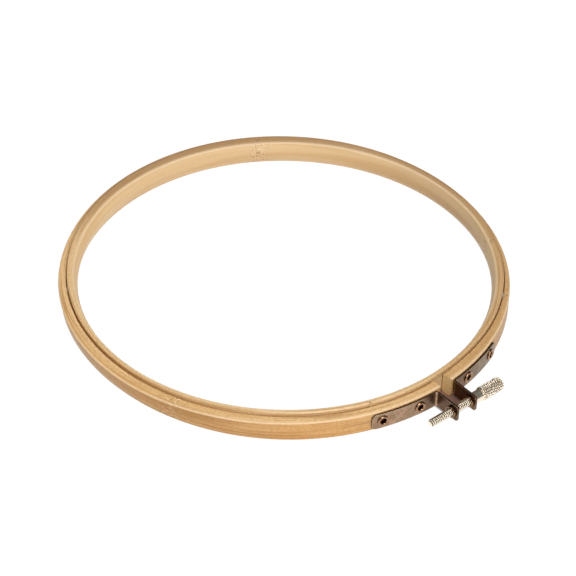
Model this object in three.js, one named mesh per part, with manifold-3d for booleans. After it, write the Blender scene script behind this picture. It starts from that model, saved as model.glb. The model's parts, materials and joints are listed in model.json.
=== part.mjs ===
// A bamboo embroidery hoop with a screw clamp, in millimetres, +Z up.
// The hoop lies flat on z = 0 with the clamp towards -Y. The origin is the centre of
// the base of the box that holds the whole hoop.
import * as THREE from 'three';
import { mergeVertices } from 'three/addons/utils/BufferGeometryUtils.js';
import Module from 'manifold-3d';

const wasm = await Module();
wasm.setup();

// Rings. The nominal size of a hoop is the inside diameter of its closed outer ring.
const nominalDiameter = 203.2;
const ringClearance = 0.3;
const innerWall = 3.2;
const innerHeight = 11.5;
const outerWall = 3.8;
const outerHeight = 10;
const easedEdge = 0.5;
const leadInWidth = 1.1;
const leadInHeight = 1.3;
const ringFacets = 108;
const roundFacets = 2;

// Small gaps: between the ring and its brackets, between pieces that are pressed
// together, and round what turns.
const seatGap = 0.2;
const pressedGap = 0.1;
const runningFit = 0.2;

// The gap in the outer ring, each end measured from the middle of the clamp.
const leftEndOffset = 2.9;
const rightEndOffset = 4;

// Clamp. It sits a little askew of square to the ring.
const clampTurn = THREE.MathUtils.degToRad(2);
const earSpacing = 10.8;
const earReach = 14.7;
const earRim = 0.93;
const sheet = 0.9;
const stripWidth = 8.2;
const stripLength = 33.6;
const firstRivet = 9.6;
const lastRivetInset = 5.2;
const bendSize = 1.5;
const stripCorner = 2.2;
const earCorner = 1.3;
const bendFacets = 8;
const cornerFacets = 5;

// Tubular rivets
const rivetBore = 1.35;
const rivetBarrel = 1.65;
const rivetFlange = 2.5;
const rivetEdge = 0.1;
const rivetDome = 0.5;
const clinchRadius = 2.1;
const clinchHeight = 0.5;
const rivetFit = 0.25;
const rivetFacets = 18;
const domeFacets = 6;

// Thumb screw
const threadRadius = 1.85;
const tipLength = 13.6;
const tipChamfer = 0.7;
const shoulderRadius = 2.7;
const shoulderLength = 5.2;
const shoulderBevel = 0.35;
const headRadius = 3.25;
const headLength = 11.9;
const headRound = 1;
const headFoot = 0.5;
const knurlTeeth = 21;
const knurlRows = 17;
const knurlDepth = 0.42;
const screwFacets = 32;

// Bush in the left ear and collar behind the right ear
const bushWall = 0.32;
const bushCollarWall = 0.75;
const bushCollarLength = 1.3;
const bushLipLength = 0.4;
const bushLipReach = 0.2;
const bushBevel = 0.2;
const collarWall = 0.7;
const collarLength = 1.2;
const collarBevel = 0.24;

// A cut or drill runs past what it cuts by this much on either side.
const overcut = 1.5;
const mergeDistance = 1e-4;

// Values worked out from the sizes above
const outerInside = nominalDiameter / 2;
const innerOutside = outerInside - ringClearance;
const innerInside = innerOutside - innerWall;
const outerOutside = outerInside + outerWall;
const midHeight = outerHeight / 2;
const stripInside = outerOutside + seatGap;
const stripMiddle = stripInside + sheet / 2;
const stripOutside = stripInside + sheet;
const halfSpacing = earSpacing / 2;
const boreRadius = threadRadius + runningFit;
const bushBarrel = boreRadius + bushWall;
const bushHole = bushBarrel + runningFit;
const screwReach = earReach - earRim - bushHole;
const drillLength = sheet + 2 * overcut;

const bamboo = { color: 0xd9b27c, roughness: 0.55, metalness: 0 };
const paleBamboo = { color: 0xe3c08e, roughness: 0.55, metalness: 0 };
const antiqueSteel = { color: 0x8a7464, roughness: 0.38, metalness: 0.9 };
const copper = { color: 0x8f6548, roughness: 0.4, metalness: 0.9 };
const nickel = { color: 0xc9b9a2, roughness: 0.25, metalness: 1 };

// A closed geometry as a solid, with its faces turned outwards.
function solid(geometry) {
  const bare = geometry.clone();
  bare.deleteAttribute('normal');
  bare.deleteAttribute('uv');
  const merged = mergeVertices(bare, mergeDistance);
  const vertProperties = new Float32Array(merged.attributes.position.array);
  const triVerts = new Uint32Array(merged.index.array);
  if (signedVolume(vertProperties, triVerts) < 0) {
    for (let i = 0; i < triVerts.length; i += 3) {
      [triVerts[i], triVerts[i + 1]] = [triVerts[i + 1], triVerts[i]];
    }
  }
  return new wasm.Manifold(new wasm.Mesh({ numProp: 3, vertProperties, triVerts }));
}

function signedVolume(positions, triangles) {
  const [a, b, c] = [new THREE.Vector3(), new THREE.Vector3(), new THREE.Vector3()];
  let volume = 0;
  for (let i = 0; i < triangles.length; i += 3) {
    a.fromArray(positions, 3 * triangles[i]);
    b.fromArray(positions, 3 * triangles[i + 1]);
    c.fromArray(positions, 3 * triangles[i + 2]);
    volume += a.dot(b.cross(c)) / 6;
  }
  return volume;
}

function geometryOf(body) {
  const mesh = body.getMesh();
  const geometry = new THREE.BufferGeometry();
  geometry.setAttribute('position', new THREE.BufferAttribute(mesh.vertProperties, 3));
  geometry.setIndex(new THREE.BufferAttribute(mesh.triVerts, 1));
  geometry.computeVertexNormals();
  return geometry;
}

function named(name, geometry, look) {
  const mesh = new THREE.Mesh(geometry, new THREE.MeshStandardMaterial(look));
  mesh.name = name;
  return mesh;
}

// A profile of [radius, height] points turned about the Z axis.
function turnedAboutZ(points, facets) {
  const closed = [...points, points[0]].map(([r, z]) => new THREE.Vector2(r, z));
  return new THREE.LatheGeometry(closed, facets).rotateX(Math.PI / 2);
}

// A quarter round from angle a0 to a1 about a centre, as profile points.
function quarter(cx, cy, rx, ry, a0, a1, steps = roundFacets) {
  const points = [];
  for (let i = 0; i <= steps; i++) {
    const a = THREE.MathUtils.degToRad(a0 + ((a1 - a0) * i) / steps);
    points.push([cx + rx * Math.cos(a), cy + ry * Math.sin(a)]);
  }
  return points;
}

// The clamp's own frame: u runs along the screw to its head, e points away from the ring.
const gapPoint = new THREE.Vector2(0, -outerOutside);
const alongScrew = new THREE.Vector2(Math.cos(clampTurn), -Math.sin(clampTurn));
const awayFromRing = new THREE.Vector2(-Math.sin(clampTurn), -Math.cos(clampTurn));

function clampPoint(along, away) {
  return gapPoint.clone().addScaledVector(alongScrew, along).addScaledVector(awayFromRing, away);
}

// A bamboo strip of rectangular section with its corners eased. The inner ring has a
// wider rounded lead-in on its upper outer edge, where the cloth is pushed over it.
function innerRing() {
  const [r0, r1, h, e] = [innerInside, innerOutside, innerHeight, easedEdge];
  const profile = [
    ...quarter(r0 + e, e, e, e, 180, 270),
    ...quarter(r1 - e, e, e, e, 270, 360),
    ...quarter(r1 - leadInWidth, h - leadInHeight, leadInWidth, leadInHeight, 0, 90),
    ...quarter(r0 + e, h - e, e, e, 90, 180),
  ];
  return turnedAboutZ(profile, ringFacets);
}

// The outer ring is cut through at the clamp and drilled for the rivets. Each hole is
// counterbored on the inside, so that the clinched end lies below the wood.
function outerRing() {
  const [r0, r1, h, e] = [outerInside, outerOutside, outerHeight, easedEdge];
  const profile = [
    ...quarter(r0 + e, e, e, e, 180, 270),
    ...quarter(r1 - e, e, e, e, 270, 360),
    ...quarter(r1 - e, h - e, e, e, 0, 90),
    ...quarter(r0 + e, h - e, e, e, 90, 180),
  ];
  let ring = solid(turnedAboutZ(profile, ringFacets));
  ring = ring.subtract(solid(gapWedge()));
  for (const angle of rivetAngles()) {
    const hole = radialCylinder(rivetBarrel + rivetFit, r0 - overcut, r1 + overcut, angle);
    const seatEnd = outerInside + clinchHeight + rivetFit;
    const seat = radialCylinder(clinchRadius + rivetFit, r0 - overcut, seatEnd, angle);
    ring = ring.subtract(solid(hole)).subtract(solid(seat));
  }
  return geometryOf(ring);
}

function gapWedge() {
  const far = outerOutside + overcut;
  const slope = (offset) => (offset / outerOutside) * far;
  const wedge = new THREE.Shape();
  wedge.moveTo(0, 0);
  wedge.lineTo(-slope(leftEndOffset), -far);
  wedge.lineTo(slope(rightEndOffset), -far);
  wedge.closePath();
  const depth = outerHeight + 2 * overcut;
  return new THREE.ExtrudeGeometry(wedge, { depth, bevelEnabled: false }).translate(0, 0, -overcut);
}

// Angle on the ring, from the middle of the clamp, of a length along a side's strip.
function stripAngle(side, length) {
  return (side * (halfSpacing + length)) / stripMiddle;
}

function rivetAngles() {
  const lengths = [firstRivet, stripLength - lastRivetInset];
  return [-1, 1].flatMap((side) => lengths.map((length) => stripAngle(side, length)));
}

// A cylinder along a radius of the ring, at an angle from -Y and at mid height.
function radialCylinder(radius, from, to, angle) {
  return new THREE.CylinderGeometry(radius, radius, to - from, rivetFacets)
    .translate(0, -(from + to) / 2, 0)
    .rotateZ(angle)
    .translate(0, 0, midHeight);
}

// A bracket is one strip of sheet: it hugs the ring, then bends out into the ear.
function bracketPath(side) {
  const start = clampPoint(side * halfSpacing, 0);
  const reach = start.dot(awayFromRing);
  const hit = -reach + Math.sqrt(reach * reach - start.lengthSq() + stripMiddle * stripMiddle);
  const corner = clampPoint(side * halfSpacing, hit);
  const cornerAngle = Math.atan2(corner.y, corner.x);
  const farAngle = -Math.PI / 2 + stripAngle(side, stripLength);
  const bendAngle = cornerAngle + (side * bendSize) / stripMiddle;
  const earStart = clampPoint(side * halfSpacing, hit + bendSize);
  const earEnd = clampPoint(side * halfSpacing, earReach);
  const path = new THREE.Path();
  path.absarc(0, 0, stripMiddle, farAngle, bendAngle, side > 0);
  path.quadraticCurveTo(corner.x, corner.y, earStart.x, earStart.y);
  path.lineTo(earEnd.x, earEnd.y);
  return path.getPoints(bendFacets);
}

function offsetOutline(points, distance) {
  const side = (offset) =>
    points.map((point, i) => {
      const before = points[Math.max(i - 1, 0)];
      const after = points[Math.min(i + 1, points.length - 1)];
      const along = after.clone().sub(before).normalize();
      return new THREE.Vector2(point.x - along.y * offset, point.y + along.x * offset);
    });
  return new THREE.Shape([...side(distance), ...side(-distance).reverse()]);
}

// What is cut away to round a corner that lies at the origin of the x and y directions.
function cornerCut(radius, origin, x, y, z) {
  const cut = new THREE.Shape();
  cut.moveTo(radius, 0);
  cut.absarc(radius, radius, radius, -Math.PI / 2, -Math.PI, true);
  cut.lineTo(-overcut, radius);
  cut.lineTo(-overcut, -overcut);
  cut.lineTo(radius, -overcut);
  cut.closePath();
  const settings = { depth: drillLength, bevelEnabled: false, curveSegments: cornerFacets };
  const geometry = new THREE.ExtrudeGeometry(cut, settings).translate(0, 0, -drillLength / 2);
  const basis = new THREE.Matrix4().makeBasis(x, y, z).setPosition(origin);
  return solid(geometry.applyMatrix4(basis));
}

function bracket(side) {
  const outline = offsetOutline(bracketPath(side), sheet / 2);
  const low = midHeight - stripWidth / 2;
  const high = midHeight + stripWidth / 2;
  const strip = new THREE.ExtrudeGeometry(outline, { depth: stripWidth, bevelEnabled: false });
  let body = solid(strip.translate(0, 0, low));

  const up = new THREE.Vector3(0, 0, 1);
  const down = new THREE.Vector3(0, 0, -1);
  const farAngle = stripAngle(side, stripLength);
  const radial = new THREE.Vector3(Math.sin(farAngle), -Math.cos(farAngle), 0);
  const inwards = new THREE.Vector3(-side * Math.cos(farAngle), -side * Math.sin(farAngle), 0);
  const earEnd = clampPoint(side * halfSpacing, earReach);
  const back = new THREE.Vector3(-awayFromRing.x, -awayFromRing.y, 0);
  const across = new THREE.Vector3(alongScrew.x, alongScrew.y, 0);
  for (const [z, y] of [[low, up], [high, down]]) {
    const farEnd = radial.clone().multiplyScalar(stripMiddle).setZ(z);
    body = body.subtract(cornerCut(stripCorner, farEnd, inwards, y, radial));
    body = body.subtract(cornerCut(earCorner, new THREE.Vector3(earEnd.x, earEnd.y, z), back, y, across));
  }

  for (const angle of rivetAngles().filter((a) => Math.sign(a) === side)) {
    const [from, to] = [stripInside - overcut, stripOutside + overcut];
    body = body.subtract(solid(radialCylinder(rivetBarrel + rivetFit, from, to, angle)));
  }
  const radius = side < 0 ? bushHole : boreRadius + runningFit;
  const hole = new THREE.CylinderGeometry(radius, radius, drillLength, screwFacets);
  const centre = clampPoint(side * halfSpacing, screwReach);
  hole.rotateZ(Math.PI / 2 - clampTurn).translate(centre.x, centre.y, midHeight);
  return geometryOf(body.subtract(solid(hole)));
}

// A tubular rivet about the Y axis: a domed flange outside, a barrel, a clinched end.
function rivet() {
  const end = rivetFit - outerWall - seatGap - sheet;
  const rimMiddle = (rivetBore + rivetFlange) / 2;
  const rimHalf = (rivetFlange - rivetBore) / 2;
  const lip = clinchHeight / 2;
  const points = [
    [rivetBore, end + lip],
    [rivetBore + lip, end],
    [clinchRadius - lip, end],
    [clinchRadius, end + lip],
    [rivetBarrel, end + clinchHeight],
    [rivetBarrel, pressedGap],
    [rivetFlange - rivetEdge, pressedGap],
    ...quarter(rimMiddle, pressedGap + rivetEdge, rimHalf, rivetDome, 0, 180, domeFacets),
  ];
  const closed = [...points, points[0]].map(([r, y]) => new THREE.Vector2(r, y));
  return new THREE.LatheGeometry(closed, rivetFacets);
}

function placedRivet(name, angle) {
  const geometry = rivet().rotateX(Math.PI).translate(0, -stripOutside, midHeight);
  const mesh = named(name, geometry, copper);
  mesh.rotation.z = angle;
  return mesh;
}

// A sleeve about the X axis with a step: [radius, x] points outside, a plain bore inside.
function sleeve(outline) {
  const first = outline[0][1];
  const last = outline[outline.length - 1][1];
  const points = [[boreRadius, first], ...outline, [boreRadius, last], [boreRadius, first]];
  const profile = points.map(([r, x]) => new THREE.Vector2(r, x));
  return new THREE.LatheGeometry(profile, screwFacets).rotateZ(-Math.PI / 2);
}

function threadedBush() {
  const collar = boreRadius + bushCollarWall;
  const lip = bushHole + bushLipReach;
  const face = sheet / 2 + pressedGap;
  return sleeve([
    [collar - bushBevel, -face - bushCollarLength],
    [collar, -face - bushCollarLength + bushBevel],
    [collar, -face],
    [bushBarrel, -face],
    [bushBarrel, face],
    [lip, face],
    [lip - bushBevel, face + bushLipLength],
  ]);
}

function retainingCollar() {
  const radius = boreRadius + collarWall;
  return sleeve([
    [radius - collarBevel, -collarLength / 2],
    [radius, -collarLength / 2 + collarBevel],
    [radius, collarLength / 2 - collarBevel],
    [radius - collarBevel, collarLength / 2],
  ]);
}

// The screw is turned about Y with the middle of the clamp at zero, then laid along X
// with its head towards +X.
function thumbScrew() {
  const shoulder = halfSpacing + sheet / 2 + runningFit;
  const headStart = shoulder + shoulderLength;
  const tip = -halfSpacing - tipLength;
  const profile = [
    [0, tip],
    [threadRadius - tipChamfer, tip],
    [threadRadius, tip + tipChamfer],
    [threadRadius, shoulder],
    [shoulderRadius - shoulderBevel, shoulder],
    [shoulderRadius, shoulder + shoulderBevel],
    [shoulderRadius, headStart + headFoot],
    [0, headStart + headFoot],
  ].map(([r, y]) => new THREE.Vector2(r, y));
  const shank = solid(new THREE.LatheGeometry(profile, screwFacets));
  const head = solid(knurledHead().translate(0, headStart, 0));
  return geometryOf(shank.add(head)).rotateZ(-Math.PI / 2);
}

// Diamond knurl. Two sets of crossed grooves leave four-sided points: the groove crossings
// and the points share each row, and every row is half a tooth round from the last.
function knurledHead() {
  const positions = [];
  const triangles = [];
  const count = 2 * knurlTeeth;
  const low = headRadius - knurlDepth;
  const endRadius = low - headRound;
  const rowStep = (headLength - headRound - headFoot) / knurlRows;

  const ring = (y, radiusAt) => {
    const first = positions.length / 3;
    for (let i = 0; i < count; i++) {
      const a = (2 * Math.PI * i) / count;
      const r = radiusAt(i);
      positions.push(r * Math.sin(a), y, r * Math.cos(a));
    }
    return (i) => first + ((i + count) % count);
  };
  const centre = (y) => {
    positions.push(0, y, 0);
    return positions.length / 3 - 1;
  };
  const band = (lower, upper) => {
    for (let i = 0; i < count; i++) {
      triangles.push(lower(i), lower(i + 1), upper(i + 1), lower(i), upper(i + 1), upper(i));
    }
  };

  const foot = centre(0);
  const footRing = ring(0, () => low - headFoot);
  const rows = [];
  for (let row = 0; row <= knurlRows; row++) {
    rows.push(ring(headFoot + row * rowStep, (i) => ((i + row) % 2 ? headRadius : low)));
  }
  const halfway = headRound * (1 - Math.SQRT1_2);
  const domeRing = ring(headLength - halfway, () => low - halfway);
  const topRing = ring(headLength, () => endRadius);
  const top = centre(headLength);

  for (let i = 0; i < count; i++) {
    triangles.push(foot, footRing(i + 1), footRing(i));
    triangles.push(top, topRing(i), topRing(i + 1));
  }
  band(footRing, rows[0]);
  band(rows[knurlRows], domeRing);
  band(domeRing, topRing);
  for (let row = 0; row < knurlRows; row++) {
    const [lower, upper] = [rows[row], rows[row + 1]];
    for (let i = 0; i < count; i++) {
      if ((i + row) % 2) {
        triangles.push(lower(i), lower(i + 1), upper(i), lower(i + 1), upper(i + 1), upper(i));
      } else {
        triangles.push(lower(i), lower(i + 1), upper(i + 1), lower(i), upper(i + 1), upper(i));
      }
    }
  }

  const geometry = new THREE.BufferGeometry();
  geometry.setAttribute('position', new THREE.Float32BufferAttribute(positions, 3));
  geometry.setIndex(triangles);
  return geometry;
}

// Assembly about the centre of the rings
const rings = new THREE.Group();
rings.add(named('outer_ring', outerRing(), bamboo));
rings.add(named('inner_ring', innerRing(), paleBamboo));
rings.add(named('left_bracket', bracket(-1), antiqueSteel));
rings.add(named('right_bracket', bracket(1), antiqueSteel));
const rivetNames = ['left_rivet_near', 'left_rivet_far', 'right_rivet_near', 'right_rivet_far'];
rivetAngles().forEach((angle, i) => rings.add(placedRivet(rivetNames[i], angle)));

// The screw, bush and collar lie in the clamp's turned frame.
const clamp = new THREE.Group();
clamp.position.set(gapPoint.x, gapPoint.y, midHeight);
clamp.rotation.z = -clampTurn;
rings.add(clamp);
const screw = named('thumb_screw', thumbScrew(), nickel);
screw.position.set(0, -screwReach, 0);
const bush = named('threaded_bush', threadedBush(), antiqueSteel);
bush.position.set(-halfSpacing, -screwReach, 0);
const collar = named('retaining_collar', retainingCollar(), nickel);
collar.position.set(halfSpacing - sheet / 2 - runningFit - collarLength / 2, -screwReach, 0);
clamp.add(screw, bush, collar);

// The whole hoop, moved so that the centre of its base is the origin
const hoop = new THREE.Group();
hoop.add(rings);
hoop.updateMatrixWorld(true);
const box = new THREE.Box3().setFromObject(hoop, true);
const middle = box.getCenter(new THREE.Vector3());
rings.position.set(-middle.x, -middle.y, -box.min.z);

export default hoop;
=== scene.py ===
# %% [markdown]
# A bamboo embroidery hoop. Two thin strips of bamboo are bent into rings, one inside the other,
# and a small riveted clamp with a thumb screw pulls the split outer ring shut over the cloth. The
# construction is loaded first, in metres: it says where each piece sits and how it moves. This
# lesson gives each piece its fine shape and its finish.

# %% Load the frame
import json
import math

import bmesh
import bpy
from mathutils import Matrix, Vector


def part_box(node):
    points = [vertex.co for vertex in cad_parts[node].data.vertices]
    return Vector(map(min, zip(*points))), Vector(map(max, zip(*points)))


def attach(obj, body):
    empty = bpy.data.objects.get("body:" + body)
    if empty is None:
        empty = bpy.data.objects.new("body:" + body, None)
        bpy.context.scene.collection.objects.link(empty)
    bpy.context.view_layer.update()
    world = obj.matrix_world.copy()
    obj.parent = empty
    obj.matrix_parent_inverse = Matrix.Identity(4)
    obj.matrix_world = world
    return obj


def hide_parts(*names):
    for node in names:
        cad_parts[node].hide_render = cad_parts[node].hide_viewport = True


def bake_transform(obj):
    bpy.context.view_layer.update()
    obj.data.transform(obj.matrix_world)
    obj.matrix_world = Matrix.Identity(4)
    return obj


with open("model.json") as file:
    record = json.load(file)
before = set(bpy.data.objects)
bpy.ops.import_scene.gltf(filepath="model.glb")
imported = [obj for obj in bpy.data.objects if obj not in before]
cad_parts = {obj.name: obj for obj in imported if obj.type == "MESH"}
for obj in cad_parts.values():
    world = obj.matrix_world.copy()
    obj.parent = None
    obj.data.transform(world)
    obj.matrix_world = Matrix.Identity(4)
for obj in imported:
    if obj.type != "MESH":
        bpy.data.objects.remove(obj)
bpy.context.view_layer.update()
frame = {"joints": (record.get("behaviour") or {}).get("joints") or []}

scene = bpy.context.scene

# %% [markdown]
# Every place comes from the frame, so the fine pieces land on the plain ones they stand for. The
# rings share one upright axis. The clamp has its own axes, a few degrees askew: one along the
# screw towards its head, and one that points away from the ring.

# %% Places taken from the frame
MM = 0.001
UP = Vector((0, 0, 1))


def joint(name):
    return next(j for j in frame["joints"] if j["name"] == name)


def width_of(node):
    low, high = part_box(node)
    return high.x - low.x


def added(name, data):
    """A new object in the scene."""
    thing = bpy.data.objects.new(name, data)
    scene.collection.objects.link(thing)
    return thing


inner_low, inner_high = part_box("inner_ring")
ring_centre = Vector(((inner_low.x + inner_high.x) / 2, (inner_low.y + inner_high.y) / 2, 0))
inner_outside = width_of("inner_ring") / 2
outer_outside = width_of("outer_ring") / 2
inner_height = inner_high.z
outer_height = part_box("outer_ring")[1].z
mid_height = outer_height / 2

clamp_middle = Vector(joint("screw_turn")["pos_m"])
along = Vector(joint("screw_turn")["axis"])
away = Vector((along.y, -along.x, 0))
clamp_frame = Matrix((along, -away, UP)).transposed().to_4x4()
clamp_frame.translation = clamp_middle
print("rings", round(2 * outer_outside, 4), "m across, centre", ring_centre)

# %% [markdown]
# The camera looks down at about forty degrees from the clamp's side, through a long lens from a
# metre away, so that the hoop's far side is hardly smaller than its near side. A slight roll and
# shift frame the hoop as the photo does. Two level directions, away from the camera and to its
# right, are kept for the lamps and for the painted shade on the wood.

# %% Camera
view_azimuth = math.radians(-42.7)
view_elevation = math.radians(39.69)
view_roll = math.radians(1.22)
view_distance = 1.05
frame_width = 576
focal_pixels = 2237
shift_pixels = (3.38, -3.0)

camera = scene.camera = added("camera", bpy.data.cameras.new("camera"))
level = math.cos(view_elevation)
towards_camera = Vector((
    math.sin(view_azimuth) * level,
    -math.cos(view_azimuth) * level,
    math.sin(view_elevation),
))
back_from_camera = -Vector((towards_camera.x, towards_camera.y, 0)).normalized()
right_of_camera = UP.cross(towards_camera).normalized()
turn = (-towards_camera).to_track_quat("-Z", "Y").to_matrix() @ Matrix.Rotation(view_roll, 3, "Z")
camera.matrix_world = Matrix.Translation(ring_centre + view_distance * towards_camera) @ turn.to_4x4()
camera.data.sensor_width = 36
camera.data.lens = focal_pixels * camera.data.sensor_width / frame_width
camera.data.shift_x = shift_pixels[0] / frame_width
camera.data.shift_y = shift_pixels[1] / frame_width
camera.data.clip_end = 20
scene.view_settings.view_transform = "Standard"
print("camera", round(camera.data.lens, 1), "mm")

# %% [markdown]
# Shaders and Geometry Nodes are both sums over sockets, so both are written here as Python
# expressions. A Value wraps a socket: adding, multiplying or comparing two of them adds the Math
# node that does it. Any other node comes from Maker.node, which takes the node's type, its
# settings and the values or links of its sockets.


# %% Sums written as expressions
class Value:
    def __init__(self, maker, socket):
        self.maker, self.socket = maker, socket

    def math(self, operation, *others):
        return self.maker.node("ShaderNodeMath", {"operation": operation}, [self, *others])

    def __add__(self, other):
        return self.math("ADD", other)

    def __mul__(self, other):
        return self.math("MULTIPLY", other)

    def __sub__(self, other):
        return self.math("SUBTRACT", other)

    def __rsub__(self, other):
        return self.maker.node("ShaderNodeMath", {"operation": "SUBTRACT"}, [other, self])

    def __truediv__(self, other):
        return self.math("DIVIDE", other)

    def __gt__(self, other):
        return self.math("GREATER_THAN", other)

    __radd__ = __add__
    __rmul__ = __mul__

    def output(self, name):
        return Value(self.maker, self.socket.node.outputs[name])

    def step(self, low, high):
        """0 below low, 1 above high and a smooth rise between them."""
        settings = {"interpolation_type": "SMOOTHSTEP"}
        inputs = {"Value": self, "From Min": low, "From Max": high}
        return self.maker.node("ShaderNodeMapRange", settings, inputs)


class Maker:
    def __init__(self, tree):
        self.tree = tree

    def node(self, kind, settings=None, inputs=(), output=0):
        node = self.tree.nodes.new(kind)
        for name, value in (settings or {}).items():
            setattr(node, name, value)
        pairs = inputs.items() if isinstance(inputs, dict) else enumerate(inputs)
        for key, value in pairs:
            if isinstance(value, Value):
                self.tree.links.new(value.socket, node.inputs[key])
            else:
                node.inputs[key].default_value = value
        return Value(self, node.outputs[output]) if len(node.outputs) else None

    def paint(self, colour, *coats):
        """A colour under coats of paint, each given by how much of it shows and its colour."""
        for share, coat in coats:
            inputs = {0: share, 6: colour, 7: coat}
            colour = self.node("ShaderNodeMix", {"data_type": "RGBA"}, inputs, 2)
        return colour

    def noise(self, **values):
        """A noise in three dimensions, or in four if it is given a W."""
        dimensions = {"noise_dimensions": "4D" if "W" in values else "3D"}
        return self.node("ShaderNodeTexNoise", dimensions, values)

    def combine(self, x, y, z):
        return self.node("ShaderNodeCombineXYZ", {}, [x, y, z])

    def split(self, vector):
        parts = self.node("ShaderNodeSeparateXYZ", {}, [vector])
        return parts, parts.output("Y"), parts.output("Z")

    def here(self, origin=(0, 0, 0)):
        """The place on the object, counted from an origin."""
        place = self.node("ShaderNodeTexCoord").output("Object")
        return self.node("ShaderNodeVectorMath", {"operation": "SUBTRACT"}, [place, origin])

    def attribute(self, name):
        return self.node("ShaderNodeAttribute", {"attribute_name": name}).output("Fac")

    def store(self, shape, name, value, domain="POINT"):
        settings = {"data_type": "FLOAT", "domain": domain}
        inputs = {"Geometry": shape, "Name": name, "Value": value}
        return self.node("GeometryNodeStoreNamedAttribute", settings, inputs)

    def bump(self, strength, distance, height):
        inputs = {"Strength": strength, "Distance": distance, "Height": height}
        return self.node("ShaderNodeBump", {}, inputs)


def tone(red, green, blue):
    """A colour as a picture shows it, 0 to 255, turned into the linear one a shader takes."""
    linear = [((c / 255 + 0.055) / 1.055) ** 2.4 for c in (red, green, blue)]
    return (*linear, 1)


def surface(name):
    """A material with one Principled shader, and the maker of its nodes."""
    material = bpy.data.materials.new(name)
    material.use_nodes = True
    shader = next(n for n in material.node_tree.nodes if n.type == "BSDF_PRINCIPLED")
    return material, Maker(material.node_tree), shader


def feed(maker, shader, **values):
    """Plug values into the shader's sockets: base_color feeds Base Color."""
    for key, value in values.items():
        socket = shader.inputs[key.replace("_", " ").title()]
        if isinstance(value, Value):
            maker.tree.links.new(value.socket, socket)
        else:
            socket.default_value = value


print("helpers ready")

# %% [markdown]
# Bamboo is a bundle of straight fibres. In a bent strip they run round the ring, so the grain is
# long streaks along the way round and fine specks on a cut end. A solid noise that is stretched
# only along the way round gives both: its third dimension is the height and its fourth the
# distance from the axis, both finely scaled, while the two in the plane are coarse. Being solid,
# it has no seam and wraps over every edge. Here and there the cane has a knuckle, where the
# fibres wander and leave light and dark flecks.
#
# Painted light and shade lie on the wood's colour as well. The far side of the hoop, its tops most,
# and the right side are painted duller, painted shade where less light falls, and the outer face on
# the left is painted a deeper gold, painted shade on that side too. Where the rings meet the wood is
# darker, grime together with painted shade of the crevice. The cut ends are painted pale, pale end
# grain together with painted light. A painted highlight runs along the upper edge of each free face.
# The ring's mesh says where these are: its attribute joint goes from 0 on the ring's free face to 1
# on the face that meets the other ring, and end is 1 on a cut end.

# %% Tones of the wood
light_fleck, dark_fleck = tone(250, 230, 194), tone(120, 78, 42)
# Painted shade: the far side, the right side and the left outer face of the hoop.
far_side_shade, right_side_shade, left_side_shade = tone(166, 124, 82), tone(146, 112, 74), tone(205, 146, 62)
# Painted light on the cut ends, grime with painted shade where the rings meet, and a painted highlight
# on the upper edges.
end_grain_and_light, painted_edge_highlight, joint_grime_and_shade = tone(255, 224, 166), tone(250, 226, 188), tone(104, 62, 32)
print("eight tones for the places where the wood differs")


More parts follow.
